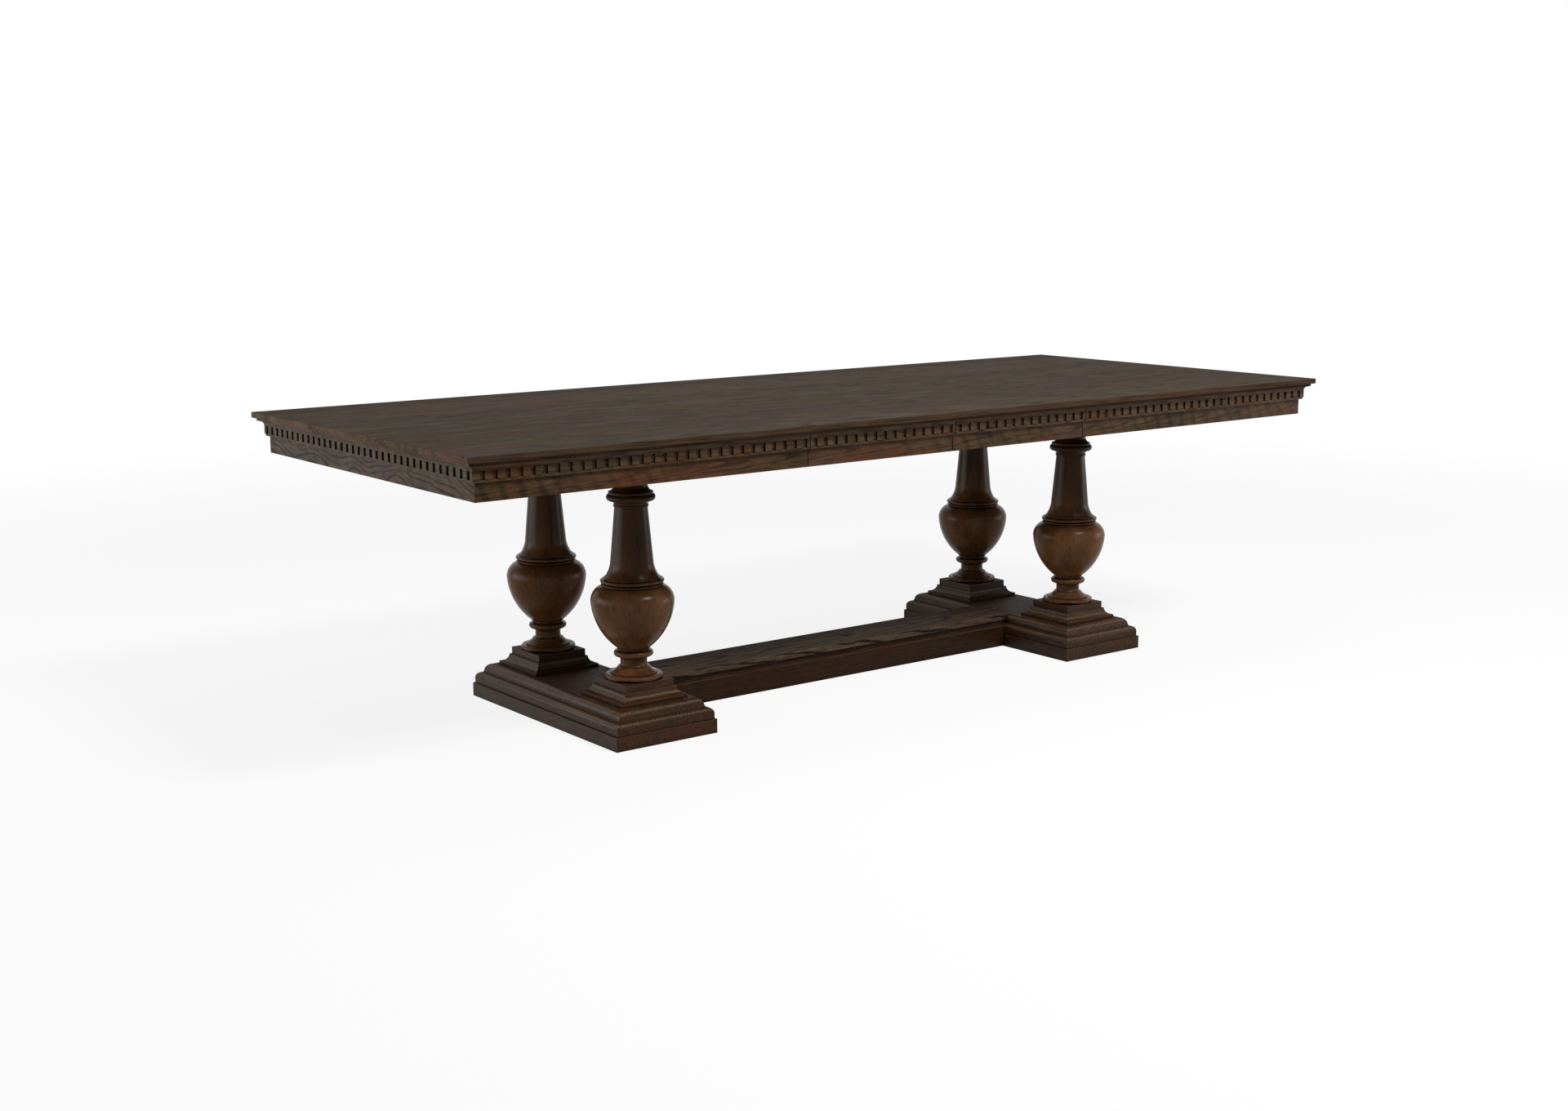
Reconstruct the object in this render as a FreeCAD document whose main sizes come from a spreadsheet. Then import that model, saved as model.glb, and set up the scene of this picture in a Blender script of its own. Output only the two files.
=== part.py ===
import FreeCAD, Part
import math
import operator
import os
import Sketcher

Vector = FreeCAD.Vector

# An extension trestle table, shown with both leaves in. The origin is on the floor under its
# centre, +X runs along its length, the front long side faces -Y, and +Z is up.
# Driving sizes in millimetres; a name that ends in count, share or degrees is a plain number.
SIZES = {
    # Whole table, with both leaves in
    "table_length": 2743,
    "table_width": 1118,
    "table_height": 762,
    "leaf_length": 457,
    # Boards of the top, with a thin square edge over a rebate
    "edge_thickness": 14,
    "rebate_height": 7.5,
    "rebate_depth": 9.6,
    "arris_radius": 1.2,
    "seam_setback": 1.2,
    # Dentil moulding under the boards: a cove, the notched band and a lower strip
    "cove_inset": 14,
    "cove_radius": 9,
    "fillet_height": 1.5,
    "band_height": 21.5,
    "notch_height": 20,
    "notch_depth": 5,
    "notch_width": 12,
    "notches_per_leaf_count": 15,
    "strip_inset": 25,
    "strip_height": 5.5,
    # Aprons, mitred at the corners
    "apron_inset": 32.7,
    "apron_thickness": 20,
    "apron_height": 80,
    # Feet: a plain band board under a moulded board
    "foot_spacing": 1488,
    "foot_width": 290,
    "foot_length": 696,
    "band_board_height": 35,
    "moulding_inset": 4.5,
    "moulding_wall": 14,
    "ovolo_radius": 15,
    "step_width": 1.5,
    "step_height": 4.5,
    "top_round_radius": 19,
    # Square plinths under the turned legs
    "plinth_width": 187,
    "plinth_setback": 51.5,
    "plinth_edge_height": 8.5,
    "plinth_cove_radius": 19.5,
    "die_width": 138,
    "die_height": 18.5,
    # Turned legs
    "leg_radius": 102,
    # Tie rods that clamp foot, plinth, leg and bearer
    "rod_radius": 5,
    "rod_hole_radius": 5.5,
    "nut_radius": 9.5,
    "nut_height": 8,
    "nut_recess_radius": 11,
    "nut_recess_depth": 12,
    # Bearers across the tops of the legs
    "bearer_width": 90,
    "bearer_overhang": 97,
    "bearer_height": 50,
    "bearer_chamfer": 20,
    # Stretcher between the feet
    "stretcher_width": 180,
    "stretcher_side_height": 54,
    "stretcher_ovolo": 8,
    "stretcher_bead_width": 1.5,
    "stretcher_bead_height": 2,
    "stretcher_ledge": 5.5,
    "stretcher_cap_width": 146,
    "stretcher_cap_height": 16.5,
    "stretcher_housing": 60,
    "dowel_radius": 6,
    "dowel_length": 70,
    "dowel_spacing": 100,
    "dowel_height": 20,
    # Fixed rails on the bearers and the slide rails beside them
    "rail_overhang": 61,
    "rail_width": 40,
    "rail_height": 64.5,
    "rail_spacing": 380,
    "groove_depth": 10.5,
    "tongue_height": 12,
    "tongue_length": 10,
    "slide_width": 30,
    "slide_height": 50,
    "slide_setback": 8,
    "slide_end_gap": 18.8,
    "running_gap": 0.3,
    "rail_bolt_radius": 4,
    "rail_bolt_length": 80,
    "rail_bolt_spacing": 64,
    "rail_bolt_head_radius": 8,
    "rail_bolt_head_height": 5,
    # Gear between the halves
    "gear_module": 4,
    "gear_teeth_count": 12,
    "gear_thickness": 10,
    "gear_drop": 6.5,
    "addendum": 3.4,
    "root_gap": 1.2,
    "tooth_backlash": 1.4,
    "flank_slope_share": 0.36,
    "rack_back": 12,
    "rack_pad_length": 280,
    "rack_reach": 60,
    "stop_lug_width": 12,
    "stop_lug_depth": 9,
    "stop_travel": 35,
    "gear_plate_thickness": 3,
    "gear_plate_width": 110,
    "guide_lip_thickness": 3,
    "guide_lip_height": 8,
    "gear_board_width": 120,
    "gear_board_thickness": 22,
    "axle_radius": 6,
    "axle_head_radius": 10,
    "axle_head_height": 4,
    "axle_clearance": 0.1,
    # Fastenings of the halves
    "pin_radius": 4,
    "pin_length": 36,
    "pin_reach": 11,
    "pin_spread": 380,
    "pin_offset": 30,
    "pin_gap": 0.4,
    "screw_radius": 2.5,
    "screw_head_radius": 4.5,
    "screw_head_height": 3,
    "screw_bite": 12,
    "screw_recess": 18,
    "screw_spacing": 190,
    "screws_per_rail_count": 4,
    # Added to cuts so that they pass through their piece
    "overrun": 20,
}

# Outline of a turned leg, from its foot up, as shares of its radius and height.
# A row of four reaches its last point by an arc through its first one.
LEG_OUTLINE_SHARES = [
    (0.640, 0.0000),
    (0.688, 0.0125, 0.634, 0.0255),
    (0.560, 0.0255),
    (0.560, 0.0325),
    (0.456, 0.0431, 0.385, 0.0575),
    (0.385, 0.0600),
    (0.330, 0.0665, 0.319, 0.0780),
    (0.319, 0.0905),
    (0.330, 0.1015, 0.372, 0.1075),
    (0.372, 0.1110),
    (0.396, 0.1110),
    (0.474, 0.1270, 0.398, 0.1420),
    (0.366, 0.1420),
    (0.366, 0.1470),
    (0.384, 0.1470),
    (0.384, 0.1520),
    (0.402, 0.1555),
    (0.863, 0.2764, 1.000, 0.3923),
    (0.926, 0.4380, 0.742, 0.4665),
    (0.716, 0.4665),
    (0.744, 0.4722, 0.706, 0.4780),
    (0.680, 0.4780),
    (0.680, 0.4815),
    (0.706, 0.4815),
    (0.762, 0.4905, 0.700, 0.4995),
    (0.652, 0.4995),
    (0.652, 0.5030),
    (0.676, 0.5030),
    (0.676, 0.5080),
    (0.655, 0.5080),
    (0.581, 0.5335, 0.518, 0.5752),
    (0.395, 0.8577),
    (0.417, 0.8577),
    (0.417, 0.867),
    (0.402, 0.867),
    (0.431, 0.880, 0.510, 0.887),
    (0.586, 0.9045, 0.520, 0.9218),
    (0.534, 0.9218),
    (0.534, 0.932),
    (0.515, 0.932),
    (0.441, 0.944, 0.407, 0.9715),
    (0.407, 1.000),
]

# How far along its diagonal a quarter round passes
ROUND_SHARE = math.sqrt(0.5)

OPERATIONS = {"+": operator.add, "-": operator.sub, "*": operator.mul, "/": operator.truediv}


class Size:
    """A number together with the sheet expression that gives it."""

    def __init__(self, text, value):
        self.text = text
        self.value = value

    def joined(self, sign, other, swapped=False):
        other = as_size(other)
        left, right = (other, self) if swapped else (self, other)
        return Size(f"({left.text} {sign} {right.text})", OPERATIONS[sign](left.value, right.value))

    def __add__(self, other):
        return self.joined("+", other)

    def __radd__(self, other):
        return self.joined("+", other, swapped=True)

    def __sub__(self, other):
        return self.joined("-", other)

    def __rsub__(self, other):
        return self.joined("-", other, swapped=True)

    def __mul__(self, other):
        return self.joined("*", other)

    def __rmul__(self, other):
        return self.joined("*", other, swapped=True)

    def __truediv__(self, other):
        return self.joined("/", other)

    def __neg__(self):
        return Size(f"(-{self.text})", -self.value)

    def whole(self):
        """The whole number below, for counting what fits."""
        return Size(f"floor({self.text})", math.floor(self.value))


def as_size(number):
    return number if isinstance(number, Size) else Size(repr(number), number)


class Arc:
    """A round stretch of an outline, through one point to its end."""

    def __init__(self, through, end):
        self.through = through
        self.end = end


doc = FreeCAD.newDocument("trestle_table")
sheet = doc.addObject("Spreadsheet::Sheet", "sizes")
for row, (alias, number) in enumerate(SIZES.items(), start=1):
    sheet.set(f"A{row}", alias)
    sheet.set(f"B{row}", str(number))
    sheet.setAlias(f"B{row}", alias)
doc.recompute()


def size(alias):
    return Size(f"sizes.{alias}", SIZES[alias])


# The sub-parts, in the order in which they are made
nodes = []


def bind(target, **places):
    """Binds properties to sizes; a double underscore stands for a dot."""
    for name, place in places.items():
        target.setExpression(name.replace("__", "."), as_size(place).text)


def place_at(target, x=0, y=0, z=0):
    bind(target, Placement__Base__x=x, Placement__Base__y=y, Placement__Base__z=z)


def turn_half(target):
    """Turns a sub-part by half a turn about the table's upright centre line."""
    target.Placement = FreeCAD.Placement(Vector(), FreeCAD.Rotation(Vector(0, 0, 1), 180))


# Outlines and sketches


def box_outline(left, right, low, high):
    return [(left, low), (right, low), (right, high), (left, high)]


def mapped(outline, change):
    """The outline with each of its points changed."""
    result = []
    for item in outline:
        if isinstance(item, Arc):
            result.append(Arc(change(*item.through), change(*item.end)))
        else:
            result.append(change(*item))
    return result


def backwards(outline):
    """The same outline from its last corner to its first."""
    corners = [item.end if isinstance(item, Arc) else item for item in outline]
    result = [corners[-1]]
    for item, corner in zip(reversed(outline[1:]), reversed(corners[:-1])):
        result.append(Arc(item.through, corner) if isinstance(item, Arc) else corner)
    return result


def both_sides(outline):
    """The outline closed by its own mirror image across the upright axis."""
    return outline + backwards(mapped(outline, lambda across, level: (-across, level)))


def quarter(start, end, corner):
    """A quarter round from start to end, bulging towards the corner between them."""
    through = []
    for first, last, edge in zip(start, end, corner):
        centre = first + last - edge
        through.append(centre + (edge - centre) * ROUND_SHARE)
    return Arc(tuple(through), end)


def flat_point(point):
    return Vector(as_size(point[0]).value, as_size(point[1]).value, 0)


class Drawing:
    """Collects the geometry and the bound constraints of one sketch."""

    def __init__(self, sketch):
        self.sketch = sketch
        self.constraints = []
        self.expressions = []

    def hold(self, kind, *arguments, distance=None):
        if distance is None:
            self.constraints.append(Sketcher.Constraint(kind, *arguments))
            self.expressions.append(None)
        else:
            distance = as_size(distance)
            self.constraints.append(Sketcher.Constraint(kind, *arguments, float(distance.value)))
            self.expressions.append(distance.text)

    def hold_point(self, geometry, which, point):
        self.hold("DistanceX", -1, 1, geometry, which, distance=point[0])
        self.hold("DistanceY", -1, 1, geometry, which, distance=point[1])

    def add_arc(self, start, item):
        arc = Part.Arc(flat_point(start), flat_point(item.through), flat_point(item.end))
        geometry = self.sketch.addGeometry(arc, False)
        on_arc = self.sketch.addGeometry(Part.Point(flat_point(item.through)), True)
        self.hold("PointOnObject", on_arc, 1, geometry)
        self.hold_point(on_arc, 1, item.through)
        first = self.sketch.getPoint(geometry, 1)
        forward = first.distanceToPoint(flat_point(start)) < first.distanceToPoint(flat_point(item.end))
        return (geometry, 1, 2) if forward else (geometry, 2, 1)

    def add_outline(self, outline):
        corners = [item.end if isinstance(item, Arc) else item for item in outline]
        edges = []
        for index, item in enumerate(outline):
            start = corners[index - 1]
            if isinstance(item, Arc):
                edges.append(self.add_arc(start, item))
            else:
                line = Part.LineSegment(flat_point(start), flat_point(item))
                edges.append((self.sketch.addGeometry(line, False), 1, 2))
        for index, (geometry, start_end, far_end) in enumerate(edges):
            previous = edges[index - 1]
            self.hold("Coincident", previous[0], previous[2], geometry, start_end)
            self.hold_point(geometry, far_end, corners[index])

    def add_circle(self, centre, radius):
        circle = Part.Circle(flat_point(centre), Vector(0, 0, 1), radius.value)
        geometry = self.sketch.addGeometry(circle, False)
        self.hold_point(geometry, 3, centre)
        self.hold("Radius", geometry, distance=radius)

    def finish(self):
        self.sketch.addConstraint(self.constraints)
        for index, text in enumerate(self.expressions):
            if text is not None:
                self.sketch.setExpression(f"Constraints[{index}]", text)
        return self.sketch


def draw(body, plane, outlines=(), circles=(), offset=0):
    """A sketch on one of the body's origin planes, moved along that plane's normal."""
    sketch = body.newObject("Sketcher::SketchObject", body.Name + "_sketch")
    support = next(item for item in body.Origin.OriginFeatures if item.Role == plane)
    sketch.AttachmentSupport = [(support, "")]
    sketch.MapMode = "FlatFace"
    bind(sketch, AttachmentOffset__Base__z=offset)
    drawing = Drawing(sketch)
    for outline in outlines:
        drawing.add_outline(outline)
    for centre, radius in circles:
        drawing.add_circle(centre, radius)
    return drawing.finish()


# Features


def start_body(label):
    body = doc.addObject("PartDesign::Body", label)
    body.Label = label
    nodes.append(body)
    return body


def pad(body, sketch, length, symmetric=False):
    feature = body.newObject("PartDesign::Pad", body.Name + "_pad")
    feature.Profile = sketch
    bind(feature, Length=length)
    feature.SideType = "Symmetric" if symmetric else "One side"
    return feature


def pocket(body, sketch, depth=None, reversed_cut=False):
    """Cuts to a depth against the sketch's normal, or right through both ways."""
    feature = body.newObject("PartDesign::Pocket", body.Name + "_pocket")
    feature.Profile = sketch
    if depth is None:
        feature.SideType = "Symmetric"
        feature.Type = "ThroughAll"
    else:
        bind(feature, Length=depth)
        feature.Reversed = reversed_cut
    return feature


def repeat(body, original, axis, pitch, count):
    """Repeats a feature along its sketch's horizontal axis."""
    pattern = body.newObject("PartDesign::LinearPattern", body.Name + "_row")
    pattern.Originals = [original]
    pattern.Direction = (axis, ["H_Axis"])
    pattern.Mode = "Spacing"
    bind(pattern, Offset=pitch, Occurrences=count)
    body.Tip = pattern
    return pattern


def soften_edges(body, feature):
    """Rounds the edges of a board's upper face and its upright corners."""
    doc.recompute()
    names = []
    for index, edge in enumerate(feature.Shape.Edges, start=1):
        first, last = edge.Vertexes
        upright = math.isclose(first.X, last.X) and math.isclose(first.Y, last.Y)
        upper = math.isclose(first.Z, table_height.value) and math.isclose(last.Z, first.Z)
        if upright or upper:
            names.append(f"Edge{index}")
    fillet = body.newObject("PartDesign::Fillet", body.Name + "_arris")
    fillet.Base = (feature, names)
    bind(fillet, Radius=size("arris_radius"))


def group(label, pieces):
    """One sub-part of several separate solids."""
    compound = doc.addObject("Part::Compound", label)
    compound.Label = label
    compound.Links = pieces
    nodes.append(compound)
    return compound


def cylinder(label, radius, height, x=0, y=0, z=0, along_x=False):
    shape = doc.addObject("Part::Cylinder", label)
    bind(shape, Radius=radius, Height=height)
    if along_x:
        shape.Placement = FreeCAD.Placement(Vector(), FreeCAD.Rotation(Vector(0, 1, 0), 90))
    place_at(shape, x, y, z)
    return shape


# Levels, from the top down
table_height = size("table_height")
edge_underside = table_height - size("edge_thickness")
board_underside = edge_underside - size("rebate_height")
cove_bottom = board_underside - size("fillet_height") - size("cove_radius")
band_bottom = cove_bottom - size("band_height")
strip_bottom = band_bottom - size("strip_height")
apron_bottom = board_underside - size("apron_height")

# Levels, from the floor up
foot_top = (
    size("band_board_height")
    + size("moulding_wall")
    + size("ovolo_radius")
    + size("step_height")
    + size("top_round_radius")
)
beam_top = foot_top - size("stretcher_cap_height")
plinth_top = foot_top + size("plinth_edge_height") + size("plinth_cove_radius")
die_top = plinth_top + size("die_height")
bearer_top = board_underside - size("rail_height")
leg_top = bearer_top - size("bearer_height")
leg_height = leg_top - die_top

# Plan places: half sizes, seams and centre lines
half_table = size("table_length") / 2
half_width = size("table_width") / 2
seam = size("leaf_length")
band_inset = size("cove_inset") + size("cove_radius")
apron_back = size("apron_inset") + size("apron_thickness")
foot_x = size("foot_spacing") / 2
leg_y = size("foot_length") / 2 - size("plinth_setback") - size("plinth_width") / 2
rail_y = size("rail_spacing") / 2
notch_pitch = size("leaf_length") / size("notches_per_leaf_count")

# The gear's circles and its level, hung from the boards
pitch_radius = size("gear_module") * size("gear_teeth_count") / 2
tip_radius = pitch_radius + size("addendum")
root_radius = pitch_radius - size("addendum") - size("root_gap")
rack_tip_y = pitch_radius - size("addendum")
rack_root_y = pitch_radius + size("addendum") + size("root_gap")
rack_back_y = rack_root_y + size("rack_back")
tooth_pitch = size("gear_module") * math.pi
gear_top = board_underside - size("gear_drop")
gear_bottom = gear_top - size("gear_thickness")
plate_top = gear_bottom - size("running_gap")
plate_bottom = plate_top - size("gear_plate_thickness")
gear_board_bottom = plate_bottom - size("gear_board_thickness")
guide_lip_y = rack_back_y + size("running_gap")
guide_lip_half = size("rack_reach") - size("stop_travel") - size("running_gap")


# The base: feet, plinths, turned legs, bearers and stretcher


def moulded_block(body, width, length, section):
    """A block whose four sides all carry one section of (inset, height) corners."""
    across = mapped(section, lambda inset, level: (width / 2 - inset, level))
    along = mapped(section, lambda inset, level: (length / 2 - inset, level))
    pad(body, draw(body, "XZ_Plane", [both_sides(across)]), length, symmetric=True)
    outer = length / 2 + size("overrun")
    waste = along + [(outer, section[-1].end[1]), (outer, section[0][1])]
    opposite = mapped(waste, lambda place, level: (-place, level))
    pocket(body, draw(body, "YZ_Plane", [waste, opposite]))


def rod_places():
    return [((0, leg_y), size("rod_hole_radius")), ((0, -leg_y), size("rod_hole_radius"))]


def recess_places():
    return [((0, leg_y), size("nut_recess_radius")), ((0, -leg_y), size("nut_recess_radius"))]


def make_foot(side, sign):
    """A band board and the moulded board on it, with the dowel holes in the inner side."""
    band = start_body(f"{side}_foot_base")
    half = size("foot_width") / 2
    outline = box_outline(-half, half, -size("foot_length") / 2, size("foot_length") / 2)
    pad(band, draw(band, "XY_Plane", [outline]), size("band_board_height"))
    pocket(band, draw(band, "XY_Plane", circles=rod_places()))
    recess = draw(band, "XY_Plane", circles=recess_places())
    pocket(band, recess, size("nut_recess_depth"), reversed_cut=True)
    holes = draw(band, "YZ_Plane", circles=dowel_places(), offset=-sign * half)
    pocket(band, holes, size("dowel_length") / 2, reversed_cut=sign > 0)
    place_at(band, sign * foot_x)

    moulding = start_body(f"{side}_foot_moulding")
    inset = size("moulding_inset")
    level = size("band_board_height") + size("moulding_wall")
    ovolo_top = level + size("ovolo_radius")
    ovolo_inset = inset + size("ovolo_radius")
    step_inset = ovolo_inset + size("step_width")
    step_top = ovolo_top + size("step_height")
    round_start = (step_inset + size("step_width"), step_top)
    round_end = (step_inset + size("step_width") + size("top_round_radius"), foot_top)
    section = [
        (inset, size("band_board_height")),
        (inset, level),
        quarter((inset, level), (ovolo_inset, ovolo_top), (inset, ovolo_top)),
        (step_inset, ovolo_top),
        (step_inset, step_top),
        round_start,
        quarter(round_start, round_end, (round_start[0], foot_top)),
    ]
    moulded_block(moulding, size("foot_width"), size("foot_length"), section)
    pocket(moulding, draw(moulding, "XY_Plane", circles=rod_places()))
    cap_half = size("stretcher_cap_width") / 2
    housing = box_outline(-sign * half, -sign * (half - size("stretcher_housing")), -cap_half, cap_half)
    cut = draw(moulding, "XY_Plane", [housing], offset=beam_top)
    pocket(moulding, cut, size("stretcher_cap_height"), reversed_cut=True)
    place_at(moulding, sign * foot_x)
    return band, moulding


def dowel_places():
    half = size("dowel_spacing") / 2
    hole = size("dowel_radius")
    return [((half, size("dowel_height")), hole), ((-half, size("dowel_height")), hole)]


def make_plinth(label, x, y):
    """A square block, moulded below and with a plain square die above."""
    body = start_body(label)
    edge = foot_top + size("plinth_edge_height")
    cove = size("plinth_cove_radius")
    section = [(0, foot_top), (0, edge), quarter((0, edge), (cove, plinth_top), (cove, edge))]
    moulded_block(body, size("plinth_width"), size("plinth_width"), section)
    half = size("die_width") / 2
    square = draw(body, "XY_Plane", [box_outline(-half, half, -half, half)], offset=plinth_top)
    pad(body, square, size("die_height"))
    pocket(body, draw(body, "XY_Plane", circles=[((0, 0), size("rod_hole_radius"))]))
    place_at(body, x, y)


def make_leg(label, x, y):
    body = start_body(label)

    def at(radius_share, height_share):
        return (size("leg_radius") * radius_share, leg_height * height_share)

    outline = []
    for row in LEG_OUTLINE_SHARES:
        outline.append(Arc(at(*row[:2]), at(*row[2:])) if len(row) > 2 else at(*row))
    outline.append((size("rod_hole_radius"), leg_height))
    outline.append((size("rod_hole_radius"), 0))
    sketch = draw(body, "XZ_Plane", [outline])
    turned = body.newObject("PartDesign::Revolution", body.Name + "_turned")
    turned.Profile = sketch
    turned.ReferenceAxis = (sketch, ["V_Axis"])
    place_at(body, x, y, die_top)


def make_bearer(side, x):
    body = start_body(f"{side}_bearer")
    half = leg_y + size("bearer_overhang")
    cut = size("bearer_chamfer")
    outline = [
        (cut - half, leg_top),
        (half - cut, leg_top),
        (half, leg_top + cut),
        (half, bearer_top),
        (-half, bearer_top),
        (-half, leg_top + cut),
    ]
    pad(body, draw(body, "YZ_Plane", [outline]), size("bearer_width"), symmetric=True)
    pocket(body, draw(body, "XY_Plane", circles=rod_places()))
    nuts = draw(body, "XY_Plane", circles=recess_places(), offset=bearer_top)
    pocket(body, nuts, size("nut_recess_depth"))
    bolts = [((px, py), size("rail_bolt_radius")) for px, py in bolt_places()]
    heads = [((px, py), size("rail_bolt_head_radius")) for px, py in bolt_places()]
    pocket(body, draw(body, "XY_Plane", circles=bolts))
    recess = draw(body, "XY_Plane", circles=heads, offset=leg_top)
    pocket(body, recess, size("rail_bolt_head_height"), reversed_cut=True)
    place_at(body, x)


def bolt_places():
    """Places of the rail bolts, seen from the middle of their bearer."""
    half = size("rail_bolt_spacing") / 2
    return [(along * half, across * rail_y) for along in (-1, 1) for across in (-1, 1)]


def make_stretcher_beam(feet):
    """A moulded beam on the floor, scribed to the feet at both ends."""
    half = size("stretcher_width") / 2
    side_top = size("stretcher_side_height")
    ovolo = size("stretcher_ovolo")
    bead = half - ovolo - size("stretcher_bead_width")
    bead_base = side_top + ovolo
    bead_top = bead_base + size("stretcher_bead_height")
    cove = beam_top - bead_top
    cove_start = bead - size("stretcher_ledge")
    right_side = [
        (half, 0),
        (half, side_top),
        quarter((half, side_top), (half - ovolo, bead_base), (half, bead_base)),
        (bead, bead_base),
        (bead, bead_top),
        (cove_start, bead_top),
        quarter((cove_start, bead_top), (cove_start - cove, beam_top), (cove_start - cove, bead_top)),
    ]
    blank = doc.addObject("PartDesign::Body", "stretcher_blank")
    section = draw(blank, "YZ_Plane", [both_sides(right_side)])
    pad(blank, section, size("foot_spacing"), symmetric=True)
    holes = doc.addObject("Part::Compound", "stretcher_holes")
    holes.Links = dowels("hole")
    for index, tool in enumerate([holes] + feet, start=1):
        cut = doc.addObject("Part::Cut", f"stretcher_scribe_{index}")
        cut.Base = blank
        cut.Tool = tool
        blank = cut
    blank.Label = "stretcher_beam"
    nodes.append(blank)


def make_stretcher_cap():
    """The flat board on the beam, housed in the tops of both feet."""
    body = start_body("stretcher_cap")
    half = size("stretcher_cap_width") / 2
    length = size("foot_spacing") - size("foot_width") + size("stretcher_housing") * 2
    section = draw(body, "YZ_Plane", [box_outline(-half, half, beam_top, foot_top)])
    pad(body, section, length, symmetric=True)


def dowels(name):
    """Four dowels, half in the feet and half in the stretcher."""
    inner_face = foot_x - size("foot_width") / 2
    start = inner_face - size("dowel_length") / 2
    pieces = []
    length = size("dowel_length")
    for (y, z), radius in dowel_places():
        for x in (start, -start - length):
            pieces.append(cylinder(f"{name}_{len(pieces) + 1}", radius, length, x, y, z, along_x=True))
    return pieces


def hexagon_nut(label, x, y, z):
    nut = doc.addObject("Part::Prism", label + "_hexagon")
    nut.Polygon = 6
    bind(nut, Circumradius=size("nut_radius"), Height=size("nut_height"))
    place_at(nut, x, y, z)
    cut = doc.addObject("Part::Cut", label)
    cut.Base = nut
    cut.Tool = cylinder(label + "_thread", size("rod_radius"), size("nut_height"), x, y, z)
    return cut


def make_tie_rods():
    low = size("nut_recess_depth") - size("nut_height")
    high = bearer_top - size("nut_recess_depth")
    length = high + size("nut_height") - low
    rods = []
    nuts = []
    for x in (-foot_x, foot_x):
        for y in (-leg_y, leg_y):
            tag = len(rods) + 1
            rods.append(cylinder(f"tie_rod_{tag}", size("rod_radius"), length, x, y, low))
            nuts.append(hexagon_nut(f"low_nut_{tag}", x, y, low))
            nuts.append(hexagon_nut(f"high_nut_{tag}", x, y, high))
    group("tie_rods", rods)
    group("tie_rod_nuts", nuts)


def make_base():
    feet = []
    for side, sign in (("left", -1), ("right", 1)):
        feet.extend(make_foot(side, sign))
    make_stretcher_beam(feet)
    make_stretcher_cap()
    group("stretcher_dowels", dowels("dowel"))
    for side, sign in (("left", -1), ("right", 1)):
        for row, across in (("front", -1), ("back", 1)):
            make_plinth(f"{side}_{row}_plinth", sign * foot_x, across * leg_y)
            make_leg(f"{side}_{row}_leg", sign * foot_x, across * leg_y)
        make_bearer(side, sign * foot_x)
    make_tie_rods()


# Fixed rails, gear board and gear


def tongue_level():
    """Bottom of the tongue, in the middle of the slide rail's height."""
    return board_underside - size("slide_height") / 2 - size("tongue_height") / 2


def make_fixed_rail(row, across):
    body = start_body(f"{row}_fixed_rail")
    inner = across * (rail_y - size("rail_width") / 2)
    outer = across * (rail_y + size("rail_width") / 2)
    groove = across * (rail_y + size("rail_width") / 2 - size("groove_depth"))
    groove_low = tongue_level() - size("running_gap")
    groove_high = tongue_level() + size("tongue_height") + size("running_gap")
    outline = [
        (inner, bearer_top),
        (outer, bearer_top),
        (outer, groove_low),
        (groove, groove_low),
        (groove, groove_high),
        (outer, groove_high),
        (outer, board_underside),
        (inner, board_underside),
    ]
    length = size("foot_spacing") + size("bearer_width") + size("rail_overhang") * 2
    pad(body, draw(body, "YZ_Plane", [outline]), length, symmetric=True)
    bolts = []
    for x in (-foot_x, foot_x):
        for px, py in bolt_places():
            if py.value * across > 0:
                bolts.append(((x + px, py), size("rail_bolt_radius")))
    depth = size("rail_bolt_length") - size("bearer_height") + size("rail_bolt_head_height")
    pocket(body, draw(body, "XY_Plane", circles=bolts, offset=bearer_top), depth, reversed_cut=True)
    board = size("gear_board_width") / 2
    housing = box_outline(-board, board, gear_board_bottom, plate_bottom)
    cut = draw(body, "XZ_Plane", [housing], offset=-inner)
    pocket(body, cut, size("groove_depth") / 2, reversed_cut=across < 0)


def make_rail_bolts():
    bolts = []
    for x in (-foot_x, foot_x):
        for px, py in bolt_places():
            tag = len(bolts) + 1
            shank = cylinder(
                f"bolt_shank_{tag}",
                size("rail_bolt_radius"),
                size("rail_bolt_length") + size("rail_bolt_head_height"),
                x + px,
                py,
                leg_top,
            )
            head = cylinder(
                f"bolt_head_{tag}",
                size("rail_bolt_head_radius"),
                size("rail_bolt_head_height"),
                x + px,
                py,
                leg_top,
            )
            bolt = doc.addObject("Part::Fuse", f"bolt_{tag}")
            bolt.Base = shank
            bolt.Tool = head
            bolts.append(bolt)
    group("rail_bolts", bolts)


def make_gear_board():
    body = start_body("gear_board")
    half = size("gear_board_width") / 2
    reach = rail_y - size("rail_width") / 2 + size("groove_depth") / 2
    outline = box_outline(-half, half, -reach, reach)
    hole = [((0, 0), size("axle_radius"))]
    sketch = draw(body, "XY_Plane", [outline], hole, offset=gear_board_bottom)
    pad(body, sketch, size("gear_board_thickness"))


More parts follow.
